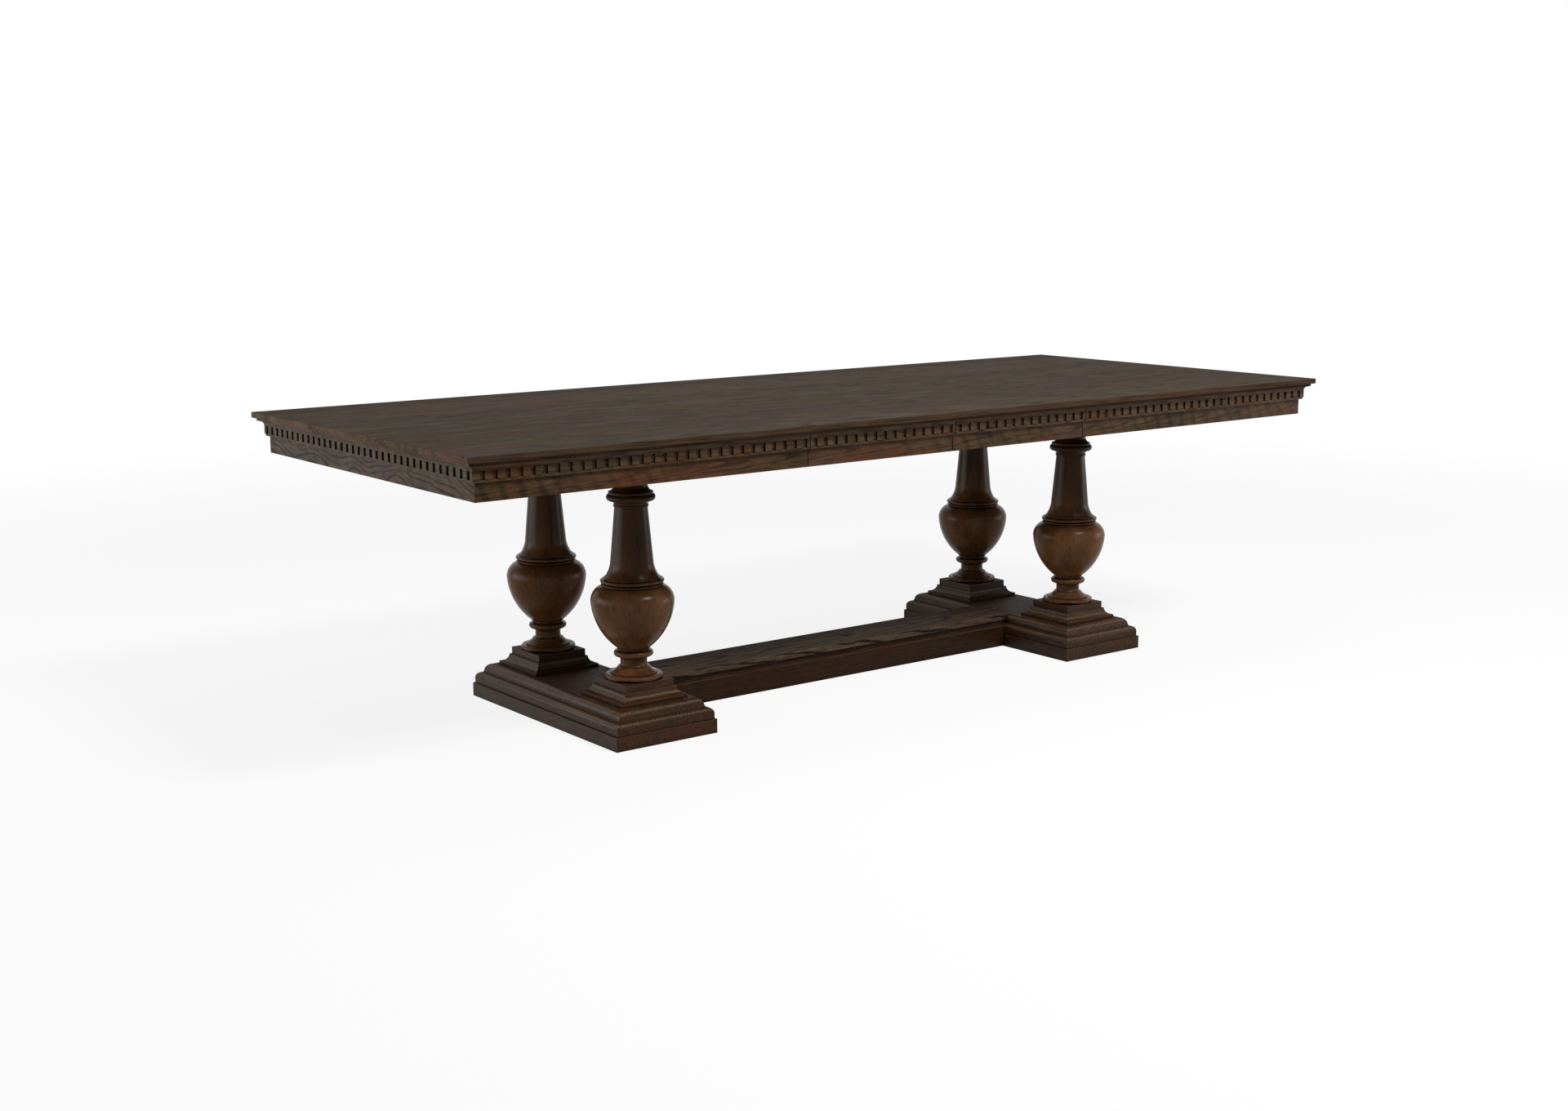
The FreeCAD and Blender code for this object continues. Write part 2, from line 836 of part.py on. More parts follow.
def make_gear_plate():
    """A plate under the gear, with two lips that guide the backs of the racks."""
    body = start_body("gear_plate")
    half = size("gear_plate_width") / 2
    hole = [((0, 0), size("axle_radius"))]
    base = draw(body, "XY_Plane", [box_outline(-half, half, -half, half)], hole, offset=plate_bottom)
    pad(body, base, size("gear_plate_thickness"))
    far = guide_lip_y + size("guide_lip_thickness")
    lips = [
        box_outline(-guide_lip_half, guide_lip_half, guide_lip_y, far),
        box_outline(-guide_lip_half, guide_lip_half, -far, -guide_lip_y),
    ]
    height = size("gear_plate_thickness") + size("guide_lip_height")
    pad(body, draw(body, "XY_Plane", lips, offset=plate_bottom), height)


def make_axle():
    shank = cylinder(
        "axle_shank",
        size("axle_radius"),
        gear_top + size("running_gap") - gear_board_bottom,
        z=gear_board_bottom,
    )
    head = cylinder(
        "axle_head",
        size("axle_head_radius"),
        size("axle_head_height"),
        z=gear_top + size("running_gap"),
    )
    axle = doc.addObject("Part::Fuse", "gear_axle")
    axle.Label = "gear_axle"
    axle.Base = shank
    axle.Tool = head
    nodes.append(axle)


def tooth_outline(centre_x, tip_y, root_y, sink):
    """A straight-flanked tooth, with its root sunk into the metal behind it."""
    pitch_half = tooth_pitch / 4 - size("tooth_backlash") / 2
    slope = size("flank_slope_share")
    tip_half = pitch_half - size("addendum") * slope
    root_half = pitch_half + (size("addendum") + size("root_gap")) * slope
    return [
        (centre_x - root_half, root_y),
        (centre_x - tip_half, tip_y),
        (centre_x + tip_half, tip_y),
        (centre_x + root_half, root_y),
        (centre_x + root_half, root_y + sink),
        (centre_x - root_half, root_y + sink),
    ]


def make_pinion():
    body = start_body("pinion")
    disc = draw(body, "XY_Plane", circles=[((0, 0), root_radius)], offset=gear_bottom)
    pad(body, disc, size("gear_thickness"))
    outline = tooth_outline(0, tip_radius, root_radius, -size("root_gap"))
    tooth = pad(body, draw(body, "XY_Plane", [outline], offset=gear_bottom), size("gear_thickness"))
    ring = body.newObject("PartDesign::PolarPattern", "pinion_teeth")
    ring.Originals = [tooth]
    ring.Axis = (tooth.Profile[0], ["N_Axis"])
    bind(ring, Occurrences=size("gear_teeth_count"))
    body.Tip = ring
    bore = size("axle_radius") + size("axle_clearance")
    pocket(body, draw(body, "XY_Plane", circles=[((0, 0), bore)], offset=gear_bottom))


# The two halves of the top. Each is drawn as the left one; the right one is turned half round.


def make_half_board(side):
    body = start_body(f"{side}_board")
    rebate = size("rebate_depth")
    slab = box_outline(-half_table, -seam, -half_width, half_width)
    feature = pad(body, draw(body, "XY_Plane", [slab], offset=edge_underside), size("edge_thickness"))
    soften_edges(body, feature)
    inner = box_outline(rebate - half_table, -seam, rebate - half_width, half_width - rebate)
    pad(body, draw(body, "XY_Plane", [inner], offset=board_underside), size("rebate_height"))
    holes = [((y, pin_level()), size("pin_radius")) for y in pin_rows()]
    bores = draw(body, "YZ_Plane", circles=holes, offset=-seam)
    pocket(body, bores, size("pin_length") - size("pin_reach"))
    sockets = [((-y, pin_level()), size("pin_radius") + size("pin_gap")) for y in pin_rows()]
    pocket(body, draw(body, "YZ_Plane", circles=sockets, offset=-seam), size("pin_reach") + size("pin_gap"))
    screws = [((x, y), size("screw_radius")) for x, y in screw_places()]
    pilot = draw(body, "XY_Plane", circles=screws, offset=board_underside)
    pocket(body, pilot, size("screw_bite"), reversed_cut=True)
    return body


def pin_level():
    return (table_height + board_underside) / 2


def pin_rows():
    """Places of the pins across the left seam, set off so that the other half's pins miss them."""
    return [size("pin_spread") * step + size("pin_offset") for step in (-1, 0, 1)]


def mitre_waste(side_sign, along_end):
    """The triangle cut off a strip at one outer corner of the left half."""
    run = apron_back + size("overrun")
    near_x = -half_table - size("overrun")
    near_y = side_sign * (half_width + size("overrun"))
    far_x = -half_table + run
    far_y = side_sign * (half_width - run)
    third = (far_x, near_y) if along_end else (near_x, far_y)
    return [(near_x, near_y), third, (far_x, far_y)]


def cove_section(place):
    """Section of the dentil moulding; place turns an inset from the board's edge into a coordinate."""
    cove_top = board_underside - size("fillet_height")
    start = (place(size("cove_inset")), cove_top)
    end = (place(band_inset), cove_bottom)
    return [
        (place(size("apron_inset")), board_underside),
        (place(size("cove_inset")), board_underside),
        start,
        quarter(start, end, (end[0], start[1])),
        (place(band_inset), band_bottom),
        (place(size("strip_inset")), band_bottom),
        (place(size("strip_inset")), strip_bottom),
        (place(size("apron_inset")), strip_bottom),
    ]


def apron_section(place):
    return box_outline(place(size("apron_inset")), place(apron_back), apron_bottom, board_underside)


def notch_outline(centre):
    half = size("notch_width") / 2
    return box_outline(centre - half, centre + half, band_bottom, band_bottom + size("notch_height"))


def make_half_side(side, row, across):
    """Apron and dentil moulding of one long side of a half."""

    def place(inset):
        return across * (half_width - inset)

    long_side = half_table - seam
    for kind, section in (("apron", apron_section(place)), ("moulding", cove_section(place))):
        body = start_body(f"{side}_{row}_{kind}")
        strip_length = long_side - size("seam_setback")
        pad(body, draw(body, "YZ_Plane", [section], offset=-half_table), strip_length)
        pocket(body, draw(body, "XY_Plane", [mitre_waste(across, False)]))
        if kind == "moulding":
            first_gap = (notch_pitch + size("notch_width")) / 2
            first = -seam - notch_pitch / 2
            sketch = draw(body, "XZ_Plane", [notch_outline(first)], offset=-place(band_inset))
            notch = pocket(body, sketch, size("notch_depth"), reversed_cut=across > 0)
            room = long_side - band_inset - size("notch_width") - first_gap
            count = (room / notch_pitch).whole() + 1
            pattern = repeat(body, notch, sketch, notch_pitch, count)
            pattern.Reversed = True
        yield body


def make_half_end(side):
    """Apron and dentil moulding across the end of a half."""

    def place(inset):
        return inset - half_table

    for kind, section in (("apron", apron_section(place)), ("moulding", cove_section(place))):
        body = start_body(f"{side}_end_{kind}")
        pad(body, draw(body, "XZ_Plane", [section]), size("table_width"), symmetric=True)
        for across in (-1, 1):
            pocket(body, draw(body, "XY_Plane", [mitre_waste(across, True)]))
        if kind == "moulding":
            room = size("table_width") - band_inset * 2 - size("notch_width") * 2
            count = (room / notch_pitch).whole() + 1
            first = -(count - 1) * notch_pitch / 2
            sketch = draw(body, "YZ_Plane", [notch_outline(first)], offset=place(band_inset))
            notch = pocket(body, sketch, size("notch_depth"), reversed_cut=True)
            repeat(body, notch, sketch, notch_pitch, count)
        yield body


def slide_start():
    return apron_back + size("slide_end_gap") - half_table


def slide_length():
    return -seam - size("slide_setback") - slide_start()


def make_slide_rail(side, row, across):
    body = start_body(f"{side}_{row}_slide")
    inner = rail_y + size("rail_width") / 2 + size("running_gap")
    outer = inner + size("slide_width")
    tip = inner - size("tongue_length")
    low = tongue_level()
    high = tongue_level() + size("tongue_height")
    bottom = board_underside - size("slide_height")
    outline = [
        (across * inner, bottom),
        (across * outer, bottom),
        (across * outer, board_underside),
        (across * inner, board_underside),
        (across * inner, high),
        (across * tip, high),
        (across * tip, low),
        (across * inner, low),
    ]
    pad(body, draw(body, "YZ_Plane", [outline], offset=slide_start()), slide_length())
    places = [(x, y) for x, y in slide_screws() if y.value * across > 0]
    shanks = [(place, size("screw_radius")) for place in places]
    heads = [(place, size("screw_head_radius")) for place in places]
    pocket(body, draw(body, "XY_Plane", circles=shanks))
    recess = draw(body, "XY_Plane", circles=heads, offset=bottom)
    pocket(body, recess, size("screw_recess"), reversed_cut=True)
    return body


def slide_screws():
    """Places of the screws through the slide rails, on the left half."""
    centre_y = rail_y + size("rail_width") / 2 + size("running_gap") + size("slide_width") / 2
    middle = slide_start() + slide_length() / 2
    places = []
    for index in range(SIZES["screws_per_rail_count"]):
        step = index - (size("screws_per_rail_count") - 1) / 2
        for across in (-1, 1):
            places.append((middle + size("screw_spacing") * step, across * centre_y))
    return places


def rack_pad_end():
    return -seam - size("slide_setback")


def rack_screws():
    """Places of the screws through the rack's raised end, on the left half."""
    centre_y = -(rack_root_y + size("rack_back") / 2)
    quarter_pad = size("rack_pad_length") / 4
    return [(rack_pad_end() - quarter_pad, centre_y), (rack_pad_end() - quarter_pad * 3, centre_y)]


def screw_places():
    return slide_screws() + rack_screws()


def make_rack(side):
    """A toothed bar from the half's board to past the gear, with a stop lug at its end."""
    body = start_body(f"{side}_rack")
    inner_end = size("rack_reach") + size("stop_lug_width")
    outer_end = rack_pad_end() - size("rack_pad_length")
    bar = box_outline(outer_end, inner_end, -rack_back_y, -rack_root_y)
    pad(body, draw(body, "XY_Plane", [bar], offset=gear_bottom), size("gear_thickness"))
    raised = box_outline(outer_end, rack_pad_end(), -rack_back_y, -rack_root_y)
    sketch = draw(body, "XY_Plane", [raised], offset=gear_bottom)
    pad(body, sketch, size("gear_thickness") + size("gear_drop"))
    lug = box_outline(size("rack_reach"), inner_end, -rack_back_y - size("stop_lug_depth"), -rack_root_y)
    pad(body, draw(body, "XY_Plane", [lug], offset=gear_bottom), size("gear_thickness"))
    ahead = (size("stop_travel") / tooth_pitch).whole() + 1
    count = (seam / tooth_pitch).whole() + ahead + 2
    first = tooth_pitch * ahead + tooth_pitch / 2
    outline = tooth_outline(first, -rack_tip_y, -rack_root_y, -size("root_gap"))
    sketch = draw(body, "XY_Plane", [outline], offset=gear_bottom)
    tooth = pad(body, sketch, size("gear_thickness"))
    row = repeat(body, tooth, sketch, tooth_pitch, count)
    row.Reversed = True
    holes = [(place, size("screw_radius")) for place in rack_screws()]
    pocket(body, draw(body, "XY_Plane", circles=holes))
    return body


def make_screws(side):
    """All the screws that hold the slide rails and the rack under the board."""
    screws = []
    slide_seat = board_underside - size("slide_height") + size("screw_recess")
    levels = [(place, slide_seat) for place in slide_screws()]
    levels += [(place, gear_bottom) for place in rack_screws()]
    for (x, y), seat in levels:
        tag = f"{side}_screw_{len(screws) + 1}"
        length = board_underside + size("screw_bite") - seat
        shank = cylinder(tag + "_shank", size("screw_radius"), length, x, y, seat)
        below = seat - size("screw_head_height")
        head = cylinder(tag + "_head", size("screw_head_radius"), size("screw_head_height"), x, y, below)
        screw = doc.addObject("Part::Fuse", tag)
        screw.Base = shank
        screw.Tool = head
        screws.append(screw)
    return group(f"{side}_screws", screws)


def make_seam_pins(side):
    pins = []
    length = size("pin_length")
    start = size("pin_reach") - seam - length
    for y in pin_rows():
        tag = f"{side}_pin_{len(pins) + 1}"
        pins.append(cylinder(tag, size("pin_radius"), length, start, y, pin_level(), along_x=True))
    return group(f"{side}_seam_pins", pins)


def make_half(side):
    pieces = [make_half_board(side)]
    pieces.extend(make_half_end(side))
    for row, across in (("front", -1), ("back", 1)):
        pieces.extend(make_half_side(side, row, across))
        pieces.append(make_slide_rail(side, row, across))
    pieces.append(make_rack(side))
    pieces.append(make_seam_pins(side))
    pieces.append(make_screws(side))
    if side == "right":
        for piece in pieces:
            turn_half(piece)


# The two leaves. Each is drawn as the left one; the second is turned half round.


def make_leaf(label, turned):
    board = start_body(f"{label}_board")
    rebate = size("rebate_depth")
    slab = box_outline(-seam, 0, -half_width, half_width)
    feature = pad(board, draw(board, "XY_Plane", [slab], offset=edge_underside), size("edge_thickness"))
    soften_edges(board, feature)
    inner = box_outline(-seam, 0, rebate - half_width, half_width - rebate)
    pad(board, draw(board, "XY_Plane", [inner], offset=board_underside), size("rebate_height"))
    slots = []
    slot_half = size("pin_radius") + size("pin_gap")
    for y in pin_rows():
        slots.append(box_outline(y - slot_half, y + slot_half, board_underside, pin_level() + slot_half))
    cut = draw(board, "YZ_Plane", slots, offset=-seam)
    pocket(board, cut, size("pin_reach") + size("pin_gap"), reversed_cut=True)
    pieces = [board]
    for row, across in (("front", -1), ("back", 1)):
        pieces.extend(make_leaf_side(label, row, across))
    if turned:
        for piece in pieces:
            turn_half(piece)


def make_leaf_side(label, row, across):
    def place(inset):
        return across * (half_width - inset)

    for kind, section in (("apron", apron_section(place)), ("moulding", cove_section(place))):
        body = start_body(f"{label}_{row}_{kind}")
        strip_start = size("seam_setback") - seam
        strip_length = size("leaf_length") - size("seam_setback") * 2
        pad(body, draw(body, "YZ_Plane", [section], offset=strip_start), strip_length)
        if kind == "moulding":
            first = notch_pitch / 2 - seam
            sketch = draw(body, "XZ_Plane", [notch_outline(first)], offset=-place(band_inset))
            notch = pocket(body, sketch, size("notch_depth"), reversed_cut=across > 0)
            repeat(body, notch, sketch, notch_pitch, size("notches_per_leaf_count"))
        yield body


def check_shapes():
    """Stops before anything is written if any object failed or any sub-part is not sound."""
    for item in doc.Objects:
        if "Invalid" in item.State or "Error" in item.State:
            raise RuntimeError(f"{item.Label} failed: {item.State}")
    for node in nodes:
        if node.Shape.isNull() or not node.Shape.isValid():
            raise RuntimeError(f"{node.Label} has no sound shape")
        print(node.Label, len(node.Shape.Solids), "solids", round(node.Shape.Volume), "mm3")


make_base()
for rail_row, rail_side in (("front", -1), ("back", 1)):
    make_fixed_rail(rail_row, rail_side)
make_rail_bolts()
make_gear_board()
make_gear_plate()
make_axle()
make_pinion()
make_half("left")
make_half("right")
make_leaf("left_leaf", False)
make_leaf("right_leaf", True)
doc.recompute()
check_shapes()

os.makedirs("parts", exist_ok=True)
for sub_part in nodes:
    sub_part.Shape.exportStep(os.path.join("parts", sub_part.Label + ".step"))
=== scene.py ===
import math

import bpy
from mathutils import Euler, Matrix, Vector


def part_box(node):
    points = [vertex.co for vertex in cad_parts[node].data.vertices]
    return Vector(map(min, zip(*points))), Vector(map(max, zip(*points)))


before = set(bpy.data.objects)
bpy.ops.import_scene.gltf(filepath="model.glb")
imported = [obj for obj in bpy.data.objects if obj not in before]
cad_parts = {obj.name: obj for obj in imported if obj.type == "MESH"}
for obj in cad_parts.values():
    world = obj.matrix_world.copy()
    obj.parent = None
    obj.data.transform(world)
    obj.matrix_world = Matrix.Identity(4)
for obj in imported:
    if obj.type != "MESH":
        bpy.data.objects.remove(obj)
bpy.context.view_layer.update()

# An extending trestle table of dark-stained oak. Everything is in metres in the frame of the solids:
# +X runs along the table, the front long side faces -Y, and the floor is at zero.

# Camera, at the photograph's place and angle
CAMERA_PLACE = (-3.3264, -4.1989, 1.3017)
CAMERA_YAW = 0.651
CAMERA_PITCH = 0.181
CAMERA_ROLL = -0.004
SENSOR_WIDTH = 36.0
FOCAL_SHARE = 1.27470

# Stage
FLOOR_SIZE = 60.0
FLOOR_PAINT = (0.86, 0.86, 0.85, 1)
FLOOR_WHITE_SHARE = 0.86
SHADOW_REACH = (2.6, 6.0)
WORLD_LEVEL = 0.07

# Softboxes: name, place, the point that it faces, width, height and power in watts
SOFTBOXES = (
    ("key_box", (0.6, -3.7, 4.4), (0.0, 0.0, 0.4), 1.6, 1.0, 230),
    ("left_box", (-4.7, 2.2, 0.95), (-0.6, 0.0, 0.5), 4.4, 1.7, 110),
    ("right_box", (4.8, -2.2, 0.8), (0.0, 0.0, 0.4), 2.4, 1.2, 38),
    ("overhead_box", (0.2, 0.2, 3.4), (0.2, 0.2, 0.0), 4.0, 2.2, 32),
)


# Materials

WHITE = (1.0, 1.0, 1.0, 1.0)
STEEL_ENDINGS = ("rods", "nuts", "bolts", "plate", "axle", "pinion", "rack", "screws")


class Nodes:
    """Short calls that add nodes to one tree; each call returns the new node's result."""

    def __init__(self, tree):
        self.tree = tree
        tree.nodes.clear()

    def node(self, kind, output=0, inputs=None, **settings):
        node = self.tree.nodes.new(kind)
        for name, value in settings.items():
            setattr(node, name, value)
        for key, value in (inputs or {}).items():
            self.feed(node.inputs[key], value)
        return node.outputs[output]

    def feed(self, socket, value):
        if isinstance(value, bpy.types.NodeSocket):
            self.tree.links.new(value, socket)
        else:
            socket.default_value = value

    def finish(self, kind, surface):
        output = self.tree.nodes.new(kind)
        self.tree.links.new(surface, output.inputs["Surface"])

    def maths(self, operation, first, second=0.0, third=0.0, clamp=False):
        values = {0: first, 1: second, 2: third}
        return self.node("ShaderNodeMath", inputs=values, operation=operation, use_clamp=clamp)

    def times(self, first, second):
        return self.maths("MULTIPLY", first, second)

    def add_share(self, value, share, base):
        """The value times its share, on top of the base."""
        return self.maths("MULTIPLY_ADD", value, share, base)

    def vector(self, operation, first, second=(0, 0, 0), output=0):
        return self.node("ShaderNodeVectorMath", output, {0: first, 1: second}, operation=operation)

    def parts(self, vector, axis):
        """One coordinate of the vector: 0, 1 or 2."""
        return self.node("ShaderNodeSeparateXYZ", axis, {0: vector})

    def mix(self, share, first, second, blend="MIX"):
        values = {0: share, 6: first, 7: second}
        return self.node("ShaderNodeMix", 2, values, data_type="RGBA", blend_type=blend)

    def tinted(self, share, colour, tint):
        """The colour times the tint, as far as the share asks for it."""
        return self.mix(share, colour, self.mix(1.0, colour, tint, "MULTIPLY"))

    def between(self, value, low, high, start=0.0, end=1.0):
        """The value's place between low and high, held within start and end."""
        values = {0: value, 1: low, 2: high, 3: start, 4: end}
        return self.node("ShaderNodeMapRange", inputs=values, interpolation_type="SMOOTHSTEP")

    def noise(self, place, along, across, detail=3.0, roughness=0.55, output=0):
        """Noise with so many features a metre along the grain and across it."""
        stretched = self.vector("MULTIPLY", place, (along, across, across))
        values = {"Vector": stretched, "Scale": 1.0, "Detail": detail, "Roughness": roughness}
        return self.node("ShaderNodeTexNoise", output, values)

    def row_noise(self, value, scale):
        """Noise along a single number."""
        values = {"W": value, "Scale": scale, "Detail": 2.0}
        return self.node("ShaderNodeTexNoise", inputs=values, noise_dimensions="1D")

    def chance(self, value, output=0):
        return self.node("ShaderNodeTexWhiteNoise", output, {"W": value}, noise_dimensions="1D")


def new_material(name):
    material = bpy.data.materials.new(name)
    material.use_nodes = True
    return material, Nodes(material.node_tree)


def shade(n, colour, roughness, height, bump_depth, specular, metallic=0.0, soft=None):
    """The shader itself. Specular level and metallic are plain numbers on its own sockets."""
    bump = {"Height": height, "Strength": 0.5, "Distance": bump_depth}
    if soft is not None:
        bump["Normal"] = soft
    values = {
        "Base Color": colour,
        "Roughness": roughness,
        "Metallic": metallic,
        "Specular IOR Level": specular,
        "Normal": n.node("ShaderNodeBump", inputs=bump),
    }
    n.finish("ShaderNodeOutputMaterial", n.node("ShaderNodeBsdfPrincipled", inputs=values))


# How the grain lies: the turn that brings it onto the pattern's own X axis
GRAIN_TURNS = {
    "length": Euler((0, 0, 0)),
    "width": Euler((0, 0, math.radians(90))),
    "upright": Euler((0, math.radians(90), 0)),
}

# Wood finishes. Colours are linear; lengths are in metres. A ring is one year's growth, the heart
# is where the log's middle lies from the middle of the piece, and the taper leans the rings into
# long arches along the grain. Edge and end tint the upright faces square to Y and to X; on the top
# they are a painted shade on the long edges and a painted light on the ends. The dark colour of
# grooves and corners is a painted shade. The paler edge colour is for rubbed edges and is also a
# painted highlight; crest is how far the upper rounds take it, rubbed paler and painted as a
# highlight, and level_dull how much duller the level faces are.
TOP = {
    "pale": (0.086, 0.067, 0.054),
    "dark": (0.027, 0.020, 0.016),
    "warm": (0.079, 0.053, 0.037),
    "recess_shade": (0.008, 0.005, 0.003),
    "rubbed_and_highlight": (0.105, 0.082, 0.065),
    "edge": (0.94, 0.74, 0.62),
    "end": (1.95, 1.82, 1.77),
    "ring": 0.0065,
    "ring_line": 0.62,
    "ring_force": 0.35,
    "heart": (0.0, 0.0, 0.045),
    "taper": 0.020,
    "wander": 0.012,
    "wave": 0.0,
    "stave": 0.112,
    "flame": 0.0,
    "tint": 0.7,
    "mottle": (10.0, 36.0),
    "bump": 0.0005,
    "roughness": 0.78,
    "specular": 0.02,
    "level_dull": 0.0,
    "crest": 0.0,
    "recess": (0.014, 0.52, 0.26),
}
APRON = {
    "pale": (0.088, 0.050, 0.026),
    "dark": (0.020, 0.010, 0.005),
    "warm": (0.092, 0.040, 0.018),
    "recess_shade": (0.005, 0.0025, 0.0015),
    "rubbed_and_highlight": (0.115, 0.070, 0.044),
    "edge": (1.0, 1.0, 1.0),
    "end": (1.0, 1.0, 1.0),
    "ring": 0.0062,
    "ring_line": 0.50,
    "ring_force": 0.45,
    "heart": (0.0, 0.030, 0.012),
    "taper": 0.045,
    "wander": 0.010,
    "wave": 0.0,
    "stave": 0.0,
    "flame": 0.85,
    "tint": 0.6,
    "mottle": (26.0, 95.0),
    "bump": 0.0004,
    "roughness": 0.50,
    "specular": 0.07,
    "level_dull": 0.0,
    "crest": 0.0,
    "recess": (0.014, 0.56, 0.30),
}
# The end aprons, with rings in steeper arches; their paler, greyer colour is partly a painted sheen
# of the end side.
END_APRON = dict(
    APRON,
    pale=(0.100, 0.067, 0.044),
    dark=(0.010, 0.006, 0.003),
    warm=(0.104, 0.062, 0.036),
    ring=0.0090,
    ring_line=0.42,
    ring_force=1.0,
    heart=(0.0, 0.030, 0.045),
    taper=0.030,
    wander=0.012,
    wave=0.190,
    flame=0.5,
)
MOULDING = dict(APRON, ring_force=0.30, flame=0.2, ring=0.005, pale=(0.102, 0.064, 0.038))
# The end mouldings: paler and greyer than the front ones, partly a painted sheen of the end side.
END_MOULDING = dict(
    END_APRON,
    pale=(0.102, 0.073, 0.052),
    ring_force=0.25,
    ring=0.005,
    wave=0.0,
    recess=(0.012, 0.66, 0.40),
)
FOOT = dict(
    APRON,
    pale=(0.060, 0.028, 0.012),
    dark=(0.016, 0.007, 0.003),
    warm=(0.062, 0.023, 0.009),
    rubbed_and_highlight=(0.300, 0.205, 0.135),
    heart=(0.0, 0.0, 0.070),
    ring_force=0.25,
    ring=0.005,
    taper=0.02,
    flame=0.15,
    bump=0.0002,
    roughness=0.27,
    specular=0.10,
    level_dull=0.35,
    crest=0.28,
    recess=(0.030, 0.74, 0.36),
)
# The stretcher beam: the feet's finish made darker, a painted shade of the shadow under the table.
SHADED_BEAM = dict(
    FOOT,
    pale=(0.034, 0.016, 0.007),
    warm=(0.036, 0.014, 0.005),
    specular=0.06,
    crest=0.18,
)
STRETCHER_TOP = dict(
    FOOT,
    pale=(0.150, 0.102, 0.072),
    dark=(0.014, 0.010, 0.007),
    warm=(0.142, 0.090, 0.060),
    heart=(0.0, 0.0, 0.040),
    ring=0.0105,
    ring_line=0.40,
    ring_force=0.95,
    taper=0.05,
    wander=0.020,
    bump=0.0004,
    roughness=0.70,
    specular=0.04,
    level_dull=0.0,
    crest=0.0,
)
PLAIN = dict(
    APRON,
    pale=(0.330, 0.225, 0.130),
    dark=(0.200, 0.125, 0.066),
    warm=(0.340, 0.200, 0.105),
    recess_shade=(0.110, 0.070, 0.038),
    rubbed_and_highlight=(0.400, 0.290, 0.180),
    ring_force=0.5,
    flame=0.0,
    roughness=0.65,
    specular=0.2,
)
BEECH = dict(PLAIN, pale=(0.480, 0.330, 0.200), dark=(0.330, 0.210, 0.120), ring=0.003)

OLIVE = (0.94, 1.02, 0.82, 1)
ROSE = (1.06, 0.96, 1.03, 1)
FLAME_SHADE = (0.47, 0.53, 0.42, 1)
FLAME_PITCH = 0.046
ARRIS = 0.0011

# The turned legs. Between the two heights of the rise their colour darkens to the tone, a painted
# shade of the table top's shadow on the upper columns.
LEG = {
    "dark": (0.058, 0.024, 0.009),
    "pale": (0.124, 0.057, 0.022),
    "streak": (0.024, 0.009, 0.004),
    "recess_shade": (0.003, 0.0015, 0.001),
    "recess": (0.050, 0.84, 0.40),
    "rise": (0.33, 0.50),
    "tone": (0.38, 0.3496, 0.3344),
    "bump": 0.00015,
    "roughness": 0.25,
    "specular": 0.07,
}
STEEL = {
    "dull": (0.46, 0.46, 0.47),
    "bright": (0.60, 0.60, 0.61),
    "corner_shade": (0.16, 0.15, 0.14),
    "recess": (0.014, 0.52, 0.26),
    "bump": 0.0001,
    "roughness": 0.24,
    "specular": 0.5,
    "metallic": 1.0,
}

# Patterns of noise: features a metre along the grain and across it, detail and roughness
RING_WANDER = (2.6, 9.0, 3.0, 0.5)
RING_RIPPLE = (3.2, 4.0, 4.0, 0.6)
RING_WAVE = (2.4, 1.2, 2.0, 0.5)
OAK_FIBRE = (7.0, 210.0, 4.0, 0.65)
OAK_PORES = (30.0, 620.0, 2.0)
OAK_PATCHES = (4.5, 11.0, 3.0, 0.6)
OAK_TINTS = (3.0, 9.0, 2.0)
LEG_BLOTCHES = (5.0, 11.0, 4.0, 0.6)
LEG_FIBRE = (16.0, 330.0, 3.0, 0.6)
LEG_STREAKS = (9.0, 70.0, 3.0, 0.6)
STEEL_BRUSHING = (60.0, 1800.0, 2.0)
STEEL_SPOTS = (45.0, 45.0, 4.0, 0.65)

# Each piece is cut from its own stretch of the log, and a little off the last piece's place in it
LOG_STRETCH = 0.73
LOG_SWAY = 0.004


def grain_place(n, grain, middle, index):
    """Places on the piece, with the grain along X and the piece's middle near zero."""
    turn = GRAIN_TURNS[grain]
    shift = -(turn.to_matrix() @ Vector(middle))
    sway = (math.sin(index * 2.3), math.cos(index * 1.7))
    shift += Vector((LOG_STRETCH * index, LOG_SWAY * sway[0], LOG_SWAY * sway[1]))
    place = n.node("ShaderNodeTexCoord", "Object")
    return n.node("ShaderNodeMapping", inputs={"Vector": place, "Rotation": turn, "Location": shift})


def staved(n, place, width):
    """The place measured from its own stave's middle, shifted by chance, and the stave's tone."""
    number = n.maths("FLOOR", n.maths("DIVIDE", n.parts(place, 1), width))
    middle = n.times(n.maths("ADD", number, 0.5), width)
    shift = n.vector("MULTIPLY", n.chance(number, 1), (4.0, width, 0.05))
    across = n.node("ShaderNodeCombineXYZ", inputs={1: middle})
    return n.vector("ADD", n.vector("SUBTRACT", place, across), shift), n.chance(number)


